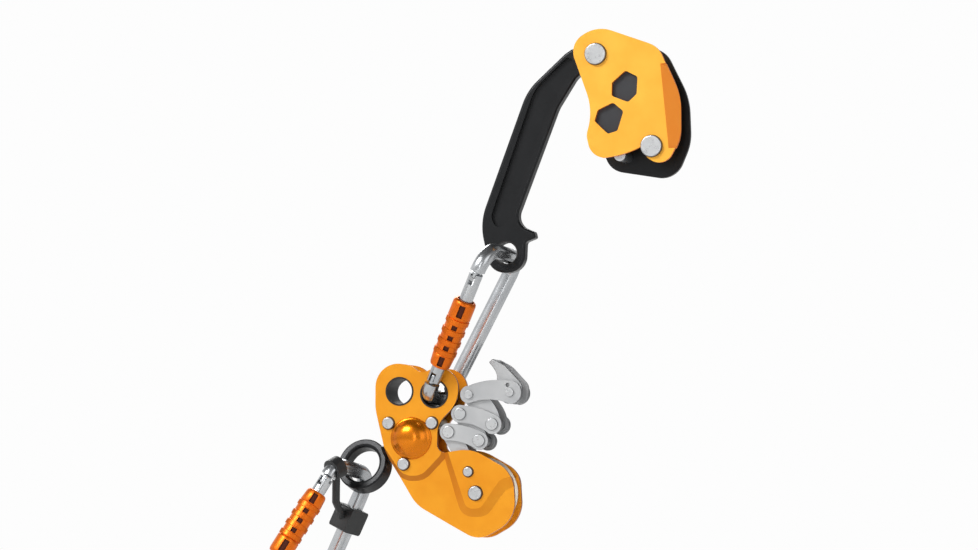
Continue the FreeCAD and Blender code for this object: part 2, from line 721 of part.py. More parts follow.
def brake_pivot_pin():
    """The large flat-headed pin that the front plate and the arm turn on."""
    shank = rod(BRAKE_PIVOT, PIVOT_PIN_R, -PLATE_OUT - 0.1, PLATE_OUT + 1.5)
    return shank.fuse([big_head(BRAKE_PIVOT), rear_head(BRAKE_PIVOT)]).removeSplitter()


def big_head(point):
    """A large flat head, just clear of the front plate."""
    y = -PLATE_OUT - 0.1
    return soften(rod(point, PIN_HEAD_R, y - PIN_HEAD_T, y), 0.8, y - PIN_HEAD_T)


def rear_head(point):
    """The riveted end of a pin behind the rear plate."""
    y = PLATE_OUT + 1.5
    return soften(rod(point, PIVOT_PIN_R + 1.2, y, y + 1.5), 0.6, y + 1.5)


def brake_lock_pin():
    """The lock pin, with a neck that the front plate's slot hooks on."""
    shank = rod(BRAKE_LOCK, LOCK_PIN_R, -PLATE_IN + 0.1, PLATE_OUT + 1.5)
    neck = rod(BRAKE_LOCK, LOCK_NECK_R, -PLATE_OUT - 0.1, -PLATE_IN + 0.1)
    return shank.fuse([neck, big_head(BRAKE_LOCK), rear_head(BRAKE_LOCK)]).removeSplitter()


def brake_spacer():
    """The silver post beside the rope's way out."""
    body = rod(BRAKE_SPACER, 3.4, -PLATE_IN + 0.1, PLATE_IN)
    return body.fuse(rod(BRAKE_SPACER, 2.0, PLATE_IN, PLATE_OUT + 1.5)).removeSplitter()


ARM_OUTLINE = [
    (128.3, 201.0, 7.0), (101.5, 199.8, 20.0), (74.5, 175.0, 34.0), (46.0, 98.0, 34.0),
    (52.6, 68.8, 9.9), (72.6, 68.8, 9.9), (73.4, 86.4, 2.4), (79.6, 88.8, 1.2),
    (78.6, 92.4, 1.2), (67.0, 97.4, 8.0), (92.6, 164.0, 24.0), (105.4, 184.2, 12.0),
    (128.3, 187.4, 6.0),
]
ARM_POCKET = [
    (100.6, 195.6, 2.5), (79.0, 175.6, 26.0), (52.6, 101.0, 8.0), (56.5, 94.0, 3.0),
    (62.8, 99.0, 5.0), (88.2, 166.0, 24.0), (102.6, 187.2, 2.5),
]
ARM_POCKET_DEEP = 2.6


def top_bar():
    """Centre of the upper connector's bar at its large end, in the arm's eye."""
    _, z_axis = connector_axes(UPPER_LEAN, UPPER_TWIST, False)
    return upper_seat() + z_axis * CONNECTOR_L


def arm_eye():
    """Centre of the arm's eye, (x, z)."""
    bar = top_bar()
    return (bar.x, bar.z + ARM_EYE_SHIFT)


def brake_arm():
    """The lever arm: a forged channel with an eye below and a boss on the brake's pivot."""
    eye = arm_eye()
    arm = slab(ARM_OUTLINE, -ARM_HALF, ARM_HALF)
    arm = soften(soften(arm, 1.6, -ARM_HALF), 1.6, ARM_HALF)
    arm = arm.fuse(rod(BRAKE_PIVOT, ARM_BOSS_R, -PLATE_IN + 0.3, PLATE_IN - 0.3))
    for y0 in (-ARM_HALF - 1, ARM_HALF - ARM_POCKET_DEEP):
        arm = arm.cut(slab(ARM_POCKET, y0, y0 + ARM_POCKET_DEEP + 1))
    arm = arm.cut(rod(eye, ARM_EYE_R + 0.8, -10, 10))
    return arm.cut(rod(BRAKE_PIVOT, PIVOT_PIN_R + 1.2, -12, 12)).removeSplitter()


def arm_eye_bush():
    """The wear bush in the arm's eye."""
    return tube(arm_eye(), ARM_EYE_R + 0.8, ARM_EYE_R, -ARM_HALF - 0.3, ARM_HALF + 0.3)


def arm_pivot_bush():
    """The plain bearing between the arm and the pivot pin."""
    return tube(BRAKE_PIVOT, PIVOT_PIN_R + 1.2, PIVOT_PIN_R + RUN, -PLATE_IN + 0.3, PLATE_IN - 0.3)


# Assembly -----------------------------------------------------------------------------------------
def build_hitch():
    """Writes the hitch's frame, sheave and swivel."""
    plate = hitch_plate()
    save("hitch_front_plate", plate)
    save("hitch_rear_plate", mirrored(plate))
    cover = dome()
    save("front_bearing_cover", cover)
    save("rear_bearing_cover", mirrored(cover))
    save("frame_rivets", *frame_rivets())
    save("rivet_spacers", *rivet_spacers())
    save("left_eye_bush", eye_bush(LEFT_EYE))
    save("right_eye_bush", eye_bush(RIGHT_EYE))
    save("chain_anchor_studs", *anchor_studs())
    save("sheave_axle", headed(SHEAVE, AXLE_R, AXLE_R + 0.5, 1.8, -PLATE_OUT, PLATE_OUT))
    save("sheave", sheave())
    save("sheave_bearing_core", *sheave_bearing())
    save("sheave_bearing_ring", bearing_ring())
    save("sheave_washers", *axle_washers())
    save("swivel_housing", swivel_housing())
    save("swivel_bearing_race", swivel_bearing())
    save("swivel_eye", swivel_eye())
    save("swivel_nut", swivel_nut())


def build_chain():
    """Writes the friction chain, from its anchor to the release lever."""
    loose = LINK_PIN_R + RUN
    save("anchor_link", *inner_link(PIVOTS["l3"], CHAIN_ANCHOR, loose, RIVET_R + RUN, (5.0, 4.8), 0.7))
    save("lower_outer_link", *outer_link("l3", "r3", (5.1, 5.4), 0.8))
    save("lower_inner_link", *inner_link(PIVOTS["l2"], PIVOTS["r3"], loose, loose, (5.0, 5.2), 1.2))
    save("middle_outer_link", *outer_link("l2", "r2", (5.2, 5.7), 1.0))
    save("upper_inner_link", *inner_link(PIVOTS["l1"], PIVOTS["r2"], loose, loose, (5.0, 5.4), 2.6))
    top = outer_link("l1", "r1", (5.1, 6.8), 1.6)
    save("top_outer_link", *[cheek.cut(rod(LEVER_PEEP, 1.2, -20, 20)) for cheek in top])
    for name in PIVOTS:
        save("link_pin_" + name, link_pin(name))
        if name != "r1":
            save("link_roller_" + name, link_roller(name))
    save("release_lever", release_lever())


def build_connectors():
    """Writes both locking connectors and the positioning bar."""
    connector("upper_connector", upper_seat(), connector_axes(UPPER_LEAN, UPPER_TWIST, False))
    axes = connector_axes(LOWER_LEAN, LOWER_TWIST, True)
    connector("lower_connector", lower_seat(), axes)
    save("positioning_bar", turned(positioning_bar(), lower_seat(), *axes))


def build_brake():
    """Writes the brake and its arm."""
    save("brake_front_plate", brake_front_plate())
    save("brake_rear_plate", brake_rear_plate())
    save("brake_upper_post", brake_post(UPPER_POST))
    save("brake_lower_post", brake_post(LOWER_POST))
    save("brake_pivot_pin", brake_pivot_pin())
    save("brake_lock_pin", brake_lock_pin())
    save("brake_spacer", brake_spacer())
    save("brake_arm", brake_arm())
    save("arm_eye_bush", arm_eye_bush())
    save("arm_pivot_bush", arm_pivot_bush())


os.makedirs(OUT, exist_ok=True)
build_hitch()
build_chain()
build_connectors()
build_brake()
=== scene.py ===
"""The looks of a rope ascender: anodised plates, forged connectors and a bead-blasted friction chain.

Every length is in metres in the object's own frame: +Z up, +X to the right, +Y to the rear.
"""

import json
import logging
import math
from collections.abc import Callable
from dataclasses import dataclass, field
from enum import Enum

import bmesh
import bpy
from mathutils import Matrix, Vector

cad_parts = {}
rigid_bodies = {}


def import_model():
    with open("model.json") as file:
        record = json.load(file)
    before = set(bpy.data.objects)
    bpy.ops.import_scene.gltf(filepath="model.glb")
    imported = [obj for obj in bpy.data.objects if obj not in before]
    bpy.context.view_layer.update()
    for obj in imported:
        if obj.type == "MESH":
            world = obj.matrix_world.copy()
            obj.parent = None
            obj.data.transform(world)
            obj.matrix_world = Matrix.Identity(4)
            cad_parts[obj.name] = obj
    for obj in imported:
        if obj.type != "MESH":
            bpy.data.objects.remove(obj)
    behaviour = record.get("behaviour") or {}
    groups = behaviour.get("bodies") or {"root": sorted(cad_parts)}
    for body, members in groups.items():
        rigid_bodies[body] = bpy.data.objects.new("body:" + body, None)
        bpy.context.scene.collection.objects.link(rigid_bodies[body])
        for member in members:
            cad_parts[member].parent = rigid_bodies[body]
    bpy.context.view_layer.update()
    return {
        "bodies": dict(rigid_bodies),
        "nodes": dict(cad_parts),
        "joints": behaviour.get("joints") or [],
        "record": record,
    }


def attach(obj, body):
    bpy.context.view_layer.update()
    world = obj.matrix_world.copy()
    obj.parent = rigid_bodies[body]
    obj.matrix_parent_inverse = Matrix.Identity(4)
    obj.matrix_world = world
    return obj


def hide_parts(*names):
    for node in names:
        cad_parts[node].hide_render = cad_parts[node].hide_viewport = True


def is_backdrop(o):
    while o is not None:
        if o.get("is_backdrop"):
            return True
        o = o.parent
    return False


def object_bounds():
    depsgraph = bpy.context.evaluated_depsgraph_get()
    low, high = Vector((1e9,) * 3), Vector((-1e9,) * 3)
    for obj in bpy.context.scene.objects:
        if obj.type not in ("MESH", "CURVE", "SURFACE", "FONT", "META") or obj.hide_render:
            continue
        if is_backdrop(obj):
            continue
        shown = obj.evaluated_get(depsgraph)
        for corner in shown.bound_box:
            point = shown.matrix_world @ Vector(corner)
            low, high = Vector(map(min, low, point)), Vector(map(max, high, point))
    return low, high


LOG = logging.getLogger("ascender")
MM = 0.001
FRONT = (0.24, -0.97, 0.0)  # the side that the sleeves' windows face


def linear(hex_colour: str) -> tuple[float, float, float, float]:
    """Turns an sRGB hex colour to linear RGBA.

    Args:
        hex_colour: Six hex digits after a hash sign.

    Returns:
        The linear red, green, blue and an alpha of 1.
    """
    parts = []
    for start in (1, 3, 5):
        value = int(hex_colour[start:start + 2], 16) / 255
        parts.append(value / 12.92 if value <= 0.04045 else ((value + 0.055) / 1.055) ** 2.4)
    return parts[0], parts[1], parts[2], 1.0


def add_node(tree: bpy.types.NodeTree, kind: str, settings: dict | None = None,
             links: dict | None = None) -> bpy.types.Node:
    """Adds one shader node with its settings and its incoming links.

    Args:
        tree: The node tree that takes the node.
        kind: The node's type name.
        settings: Values by input name, or by attribute name where no input has that name.
        links: Outgoing sockets of other nodes, by the name of the input they feed.

    Returns:
        The new node.
    """
    node = tree.nodes.new(kind)
    for name, value in (settings or {}).items():
        if name in node.inputs:
            node.inputs[name].default_value = value
        else:
            setattr(node, name, value)
    for name, socket in (links or {}).items():
        tree.links.new(socket, node.inputs[name])
    return node


class Surface(Enum):
    """How a surface was finished, which sets the pattern that its gloss and bump follow."""

    SATIN = "satin"
    BLASTED = "blasted"
    TURNED = "turned"
    POLISHED = "polished"
    MOULDED = "moulded"


@dataclass(frozen=True)
class Finish:
    """One real finish.

    Attributes:
        name: Common name of the material and how it was made.
        tone: Main colour.
        shade: Colour of its faint cloudy patches.
        metallic: Share of metal.
        roughness: Roughness at the middle of its range.
        spread: How far the roughness wanders either way.
        surface: Pattern of the surface.
        grain_mm: Size of the pattern's grain.
        bump_mm: Height of the grain.
        coat: Weight of a clear sealed layer.
        painted_flank_shade: Painted shade colour for faces that lean away from the sheet's face, or none.
    """

    name: str
    tone: str
    shade: str
    metallic: float
    roughness: float
    spread: float
    surface: Surface
    grain_mm: float
    bump_mm: float
    coat: float = 0.0
    painted_flank_shade: str = ""

    def build(self) -> bpy.types.Material:
        """Builds the material.

        Returns:
            The node material.
        """
        material = bpy.data.materials.new(self.name)
        material.use_nodes = True
        tree = material.node_tree
        tree.nodes.clear()
        place = add_node(tree, "ShaderNodeTexCoord")
        point = place.outputs["Object"]
        # Broad clouds: dye and polish are never even, over a few centimetres.
        cloud = add_node(tree, "ShaderNodeTexNoise", {"Scale": 60.0, "Detail": 3.0}, {"Vector": point})
        colour = add_node(tree, "ShaderNodeMix", {"data_type": "RGBA"}, {})
        colour.inputs[6].default_value = linear(self.tone)
        colour.inputs[7].default_value = linear(self.shade)
        soft = add_node(tree, "ShaderNodeMapRange",
                        {"From Min": 0.35, "From Max": 0.7, "To Min": 0.0, "To Max": 0.8},
                        {"Value": cloud.outputs["Fac"]})
        tree.links.new(soft.outputs["Result"], colour.inputs["Factor"])
        # Finishes with a painted shade colour darken their sloping faces.
        base = self._paint_shoulder_shade(tree, place, colour.outputs[2]) if self.painted_flank_shade else colour.outputs[2]
        grain = self._grain(tree, point)
        gloss = add_node(tree, "ShaderNodeMapRange",
                         {"From Min": 0.3, "From Max": 0.7,
                          "To Min": max(0.02, self.roughness - self.spread),
                          "To Max": self.roughness + self.spread},
                         {"Value": grain})
        bump = add_node(tree, "ShaderNodeBump", {"Strength": 0.6, "Distance": self.bump_mm * MM},
                        {"Height": grain})
        shader = add_node(tree, "ShaderNodeBsdfPrincipled",
                          {"Metallic": self.metallic, "Coat Weight": self.coat, "Coat Roughness": 0.12},
                          {"Base Color": base, "Roughness": gloss.outputs["Result"],
                           "Normal": bump.outputs["Normal"]})
        add_node(tree, "ShaderNodeOutputMaterial", {}, {"Surface": shader.outputs["BSDF"]})
        return material

    def _paint_shoulder_shade(self, tree: bpy.types.NodeTree, place: bpy.types.ShaderNode,
                   colour: bpy.types.NodeSocket) -> bpy.types.NodeSocket:
        """Paints shade on pressed shoulders and cut edges: deepens the colour of faces that lean away from
        the sheet's face, so that soft light still shows them.

        Args:
            tree: The material's node tree.
            place: The texture coordinates, which also give the face's own direction.
            colour: The colour of the flat faces.

        Returns:
            The socket that carries the finished colour.
        """
        # Painted shade: the further a face leans away from the sheet's face, the more of the darker colour
        # it takes.
        lean = add_node(tree, "ShaderNodeSeparateXYZ", {}, {"Vector": place.outputs["Normal"]})
        flat = add_node(tree, "ShaderNodeMath", {"operation": "ABSOLUTE"})
        tree.links.new(lean.outputs["Y"], flat.inputs[0])
        painted_shade_mask = add_node(tree, "ShaderNodeMapRange",
                          {"From Min": 0.99, "From Max": 0.72, "To Min": 0.0, "To Max": 0.85},
                          {"Value": flat.outputs[0]})
        mix = add_node(tree, "ShaderNodeMix", {"data_type": "RGBA"}, {})
        tree.links.new(painted_shade_mask.outputs["Result"], mix.inputs["Factor"])
        tree.links.new(colour, mix.inputs[6])
        mix.inputs[7].default_value = linear(self.painted_flank_shade)
        return mix.outputs[2]

    def _grain(self, tree: bpy.types.NodeTree, point: bpy.types.NodeSocket) -> bpy.types.NodeSocket:
        """Adds the surface's fine pattern.

        Args:
            tree: The material's node tree.
            point: The point on the surface, in metres.

        Returns:
            The socket that carries the pattern's height from 0 to 1.
        """
        scale = 1.0 / (self.grain_mm * MM)
        if self.surface is Surface.TURNED:
            stretched = add_node(tree, "ShaderNodeMapping", {"Scale": (0.15, 1.0, 0.15)},
                                 {"Vector": point})
            noise = add_node(tree, "ShaderNodeTexNoise", {"Scale": scale, "Detail": 4.0},
                             {"Vector": stretched.outputs["Vector"]})
            return noise.outputs["Fac"]
        detail = 6.0 if self.surface is Surface.BLASTED else 3.0
        noise = add_node(tree, "ShaderNodeTexNoise", {"Scale": scale, "Detail": detail, "Roughness": 0.6},
                         {"Vector": point})
        return noise.outputs["Fac"]


class Palette(Enum):
    """Every finish of the ascender."""

    # Dyed anodised sheet: a soft orange-yellow whose satin dye layer hides most of the metal's mirror.
    # Its last colour is painted shade on the sloping shoulders and cut edges.
    PLATE = Finish("anodised_sheet_golden_orange", "#F2A01E", "#E8900F", 0.55, 0.36, 0.05,
                   Surface.SATIN, 0.35, 0.010, 0.0, "#A8520A")
    # The brake's plate took a paler dye, so it reads as warm yellow.
    # Its last colour is painted shade on the sloping shoulders and cut edges.
    BRAKE_PLATE = Finish("anodised_sheet_golden_yellow", "#F8B53A", "#F2A62A", 0.35, 0.44, 0.05,
                         Surface.SATIN, 0.35, 0.010, 0.0, "#EA6C00")
    # The bearing cover was polished before dyeing, so it shows the room as dark and bright amber.
    CAP = Finish("anodised_polished_amber", "#E5820A", "#CF6F05", 0.90, 0.27, 0.02,
                 Surface.POLISHED, 6.0, 0.001, 0.2)
    # Turned and dyed deep orange: fine rings along the lathe's cut catch the light.
    SLEEVE = Finish("anodised_turned_orange", "#E8720C", "#D96306", 0.70, 0.36, 0.05,
                    Surface.TURNED, 0.25, 0.006)
    # Painted shade: the floors and walls of the sleeve's windows take a deep brown that stands in for the
    # shade inside them.
    SLEEVE_WINDOW_PAINTED_SHADE = Finish("painted_shade_window_brown", "#521B04", "#451703", 0.5, 0.5, 0.04,
                           Surface.SATIN, 0.4, 0.006)
    BLACK_METAL = Finish("anodised_forging_black", "#1B1C1E", "#131416", 0.5, 0.34, 0.06,
                         Surface.SATIN, 0.5, 0.006)
    # The bushes are matt inside, where the connector rubs, and so nearly black.
    BUSH = Finish("hard_anodised_bush_black", "#191413", "#120E0D", 0.1, 0.55, 0.05,
                  Surface.SATIN, 0.5, 0.008)
    POST = Finish("hard_anodised_post_black", "#333438", "#2A2B2E", 0.2, 0.55, 0.06,
                  Surface.SATIN, 0.4, 0.010)
    # Glass-bead blasting leaves stainless steel pale and nearly matt.
    # Its last colour is painted shade on the sloping edges.
    LINK = Finish("stainless_bead_blasted", "#BFC0C1", "#AEB0B2", 0.75, 0.40, 0.06,
                  Surface.BLASTED, 0.30, 0.012, 0.0, "#4E5053")
    # Satin stainless steel; the last colour is painted shade on the sloping edges.
    RIVET = Finish("stainless_satin_rivet", "#D6D7D8", "#C6C8CA", 0.80, 0.30, 0.05,
                   Surface.TURNED, 0.30, 0.006, 0.0, "#5C5E62")
    # Tumbled and polished forging: bright, with broad soft streaks.
    FORGED = Finish("aluminium_forged_polished", "#C6C8CA", "#AEB1B5", 0.95, 0.25, 0.03,
                    Surface.POLISHED, 6.0, 0.001)
    SHEAVE = Finish("aluminium_turned_satin", "#EFE8DA", "#E2DACA", 0.5, 0.40, 0.06,
                    Surface.TURNED, 0.25, 0.008)
    NYLON = Finish("nylon_moulded_black", "#232425", "#1A1B1C", 0.0, 0.50, 0.06,
                   Surface.MOULDED, 0.5, 0.012)
    # Painted shade: a thin dark brown ring that outlines a riveted head where it meets the plate, standing
    # in for the shadow and dark reflection at its foot.
    SEAM = Finish("oxide_dark_seam", "#4A2A0C", "#3A2009", 0.1, 0.6, 0.04,
                  Surface.SATIN, 0.5, 0.006)


@dataclass
class Workshop:
    """Keeps the built materials and sets down finished pieces."""

    frame: dict
    materials: dict[Palette, bpy.types.Material] = field(default_factory=dict)

    def material(self, kind: Palette) -> bpy.types.Material:
        """Gives the material of a finish, built once."""
        if kind not in self.materials:
            self.materials[kind] = kind.value.build()
        return self.materials[kind]

    def dress(self, node: str, kind: Palette, bevel_mm: float = 0.0) -> None:
        """Gives a frame node its finish and softened edges.

        Args:
            node: The node's name.
            kind: Its finish.
            bevel_mm: Width of the edge rounding, or 0 for none.
        """
        obj = self.frame["nodes"][node]
        obj.data.materials.clear()
        obj.data.materials.append(self.material(kind))
        if bevel_mm > 0:
            bevel = obj.modifiers.new("edge_rounding", "BEVEL")
            bevel.width = bevel_mm * MM
            bevel.segments = 2
            bevel.limit_method = "ANGLE"
            bevel.angle_limit = math.radians(40)
            bevel.harden_normals = True
        LOG.info("dressed %s in %s", node, kind.value.name)

    def place(self, name: str, mesh: bmesh.types.BMesh, kinds: tuple[Palette, ...], body: str, slot: str,
              smooth: float = 35.0) -> bpy.types.Object:
        """Makes an object of a finished bmesh and sets it on its body.

        Args:
            name: The piece's name.
            mesh: The shape, in the object's frame; it is freed.
            kinds: Its finishes, in the order of its faces' material numbers.
            body: The body that it rides on.
            slot: Name of the record's material slot for the piece; not used.
            smooth: Angle in degrees under which edges are shaded smooth.

        Returns:
            The object.
        """
        bmesh.ops.remove_doubles(mesh, verts=mesh.verts, dist=1e-7)
        bmesh.ops.recalc_face_normals(mesh, faces=mesh.faces)
        data = bpy.data.meshes.new(name)
        for edge in mesh.edges:
            edge.smooth = edge.is_manifold and edge.calc_face_angle(0.0) < math.radians(smooth)
        for face in mesh.faces:
            face.smooth = True
        mesh.to_mesh(data)
        mesh.free()
        obj = bpy.data.objects.new(name, data)
        bpy.context.collection.objects.link(obj)
        for kind in kinds:
            data.materials.append(self.material(kind))
        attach(obj, body)
        LOG.info("placed %s on %s with %d faces", name, body, len(data.polygons))
        return obj


@dataclass
class FrameDress:
    """Finishes of the frame nodes that keep their own shape."""

    shop: Workshop
    looks: dict[Palette, tuple[tuple[str, float], ...]] = field(default_factory=lambda: {
        Palette.PLATE: (("hitch_front_plate", 0.35), ("hitch_rear_plate", 0.35), ("swivel_housing", 0.4)),
                Palette.BLACK_METAL: (
            ("swivel_eye", 0.3), ("brake_arm", 0.5), ("brake_rear_plate", 0.4)),
        Palette.BUSH: (("left_eye_bush", 0.4), ("right_eye_bush", 0.4), ("arm_eye_bush", 0.2)),
        Palette.POST: (("brake_upper_post", 0.3), ("brake_lower_post", 0.3)),
        Palette.RIVET: (
            ("frame_rivets", 0.15), ("chain_anchor_studs", 0.15), ("sheave_axle", 0.2),
            ("brake_pivot_pin", 0.15), ("brake_lock_pin", 0.15), ("brake_spacer", 0.2),
            ("upper_connector_gate_rivet", 0.1), ("lower_connector_gate_rivet", 0.1),
            ("link_pin_l1", 0.1), ("link_pin_l2", 0.15), ("link_pin_l3", 0.15), ("link_pin_r1", 0.1),
            ("link_pin_r2", 0.15), ("link_pin_r3", 0.15)),
        Palette.LINK: (
            ("anchor_link", 0.35), ("lower_outer_link", 0.35), ("lower_inner_link", 0.35),
            ("middle_outer_link", 0.35), ("upper_inner_link", 0.35), ("top_outer_link", 0.35),
            ("release_lever", 0.3), ("link_roller_l1", 0.3), ("link_roller_l2", 0.3),
            ("link_roller_l3", 0.3), ("link_roller_r2", 0.3), ("link_roller_r3", 0.3),
            ("sheave_bearing_core", 0.0), ("sheave_bearing_ring", 0.1), ("sheave_washers", 0.2),
            ("swivel_bearing_race", 0.2), ("swivel_nut", 0.2), ("arm_pivot_bush", 0.2)),
        Palette.SHEAVE: (("sheave", 0.25), ("rivet_spacers", 0.2)),
        Palette.FORGED: (("upper_connector_gate", 0.5), ("lower_connector_gate", 0.5)),
        Palette.NYLON: (
            ("positioning_bar", 0.6), ("upper_connector_sleeve_bush", 0.0),
            ("lower_connector_sleeve_bush", 0.0)),
        Palette.BRAKE_PLATE: (("brake_front_plate", 0.5),),
    })

    def build(self) -> None:
        """Dresses every node in its finish."""
        for kind, nodes in self.looks.items():
            for node, bevel in nodes:
                self.shop.dress(node, kind, bevel)


def skin(around: int, rings: int, shape: Callable[[float, int], Vector]) -> bmesh.types.BMesh:
    """Wraps a grid into a tube and closes its ends.

    Args:
        around: Number of faces round the tube.
        rings: Number of rings of points along it.
        shape: Gives a point from its turn, in radians, and its ring.

    Returns:
        The closed tube.
    """
    mesh = bmesh.new()
    bmesh.ops.create_grid(mesh, x_segments=around, y_segments=rings - 1, size=1.0)
    for vert in mesh.verts:
        turn = (vert.co.x + 1) * math.pi
        ring = round((vert.co.y + 1) / 2 * (rings - 1))
        vert.co = shape(turn, ring)
    bmesh.ops.remove_doubles(mesh, verts=mesh.verts, dist=1e-6)
    bmesh.ops.holes_fill(mesh, edges=[e for e in mesh.edges if e.is_boundary], sides=0)
    return mesh


@dataclass(frozen=True)
class Loop:
    """Centre line of a connector's bar in its own plane, in millimetres.

    x runs from the gate to the spine, and z from the small end to the large end.

    Attributes:
        spine: Place of the spine.
        gate: Places of the gate side's corners, at the small end and at the large end.
        length: From the small end to the large end.
        bends: Radii at the small end and at the large end.
        bar: Radius of the bar.
    """

    spine: float = 17.5
    gate: tuple[float, float] = (-15.5, -38.0)
    length: float = 93.0
    bends: tuple[float, float] = (10.0, 11.5)
    bar: float = 4.5

    def corners(self) -> list[tuple[Vector, float]]:
        """The four corners with their radii, from the gate's lower one round the spine."""
        small, large = self.bends
        return [
            (Vector((self.gate[0], 0, 0)), small), (Vector((self.spine, 0, 0)), small),
            (Vector((self.spine, 0, self.length)), large), (Vector((self.gate[1], 0, self.length)), large),
        ]

    def route(self, steps: int = 12) -> list[Vector]:
        """Points along the bar, from the gate's hinge to its nose.

        Args:
            steps: Number of steps in each bend and each straight.

        Returns:
            The points.
        """
        points = []
        corners = self.corners()
        for i, (corner, radius) in enumerate(corners):
            before = (corners[i - 1][0] - corner).normalized()
            after = (corners[(i + 1) % 4][0] - corner).normalized()
            half = before.angle(after) / 2
            centre = corner + (before + after).normalized() * (radius / math.sin(half))
            start = (corner + before * (radius / math.tan(half)) - centre).normalized()
            end = (corner + after * (radius / math.tan(half)) - centre).normalized()
            if points:
                last = points[-1]
                points += [last.lerp(centre + start * radius, k / steps) for k in range(1, steps)]
            points += [centre + start.slerp(end, k / steps) * radius for k in range(steps + 1)]
        return points

    def gate_line(self) -> tuple[Vector, Vector, float]:
        """Where the straight gate side starts, its direction and its length."""
        route = self.route()
        along = route[-1] - route[0]
        return route[0], along.normalized(), along.length


@dataclass(frozen=True)
class Seat:
    """Place of one connector in the object, in millimetres and degrees.

    Attributes:
        prefix: Start of its nodes' and bodies' names.
        origin: Middle of its small end.
        lean: Lean from vertical, towards +X.
        twist: Turn of its plane out of the plates' plane.
        down: Whether it hangs, small end up.
    """

    prefix: str
    origin: tuple[float, float, float]
    lean: float
    twist: float
    down: bool

    def matrix(self) -> Matrix:
        """From the connector's own millimetres to the object's metres."""
        lean, twist = math.radians(self.lean), math.radians(self.twist)
        z_axis = Vector((math.sin(lean), 0, math.cos(lean))) * (-1 if self.down else 1)
        across = Vector((math.cos(lean), 0, -math.sin(lean)))
        x_axis = across * math.cos(twist) + Vector((0, math.sin(twist), 0))
        y_axis = z_axis.cross(x_axis)
        turn = Matrix((x_axis, y_axis, z_axis)).transposed().to_4x4()
        return Matrix.Translation(Vector(self.origin) * MM) @ turn @ Matrix.Scale(MM, 4)


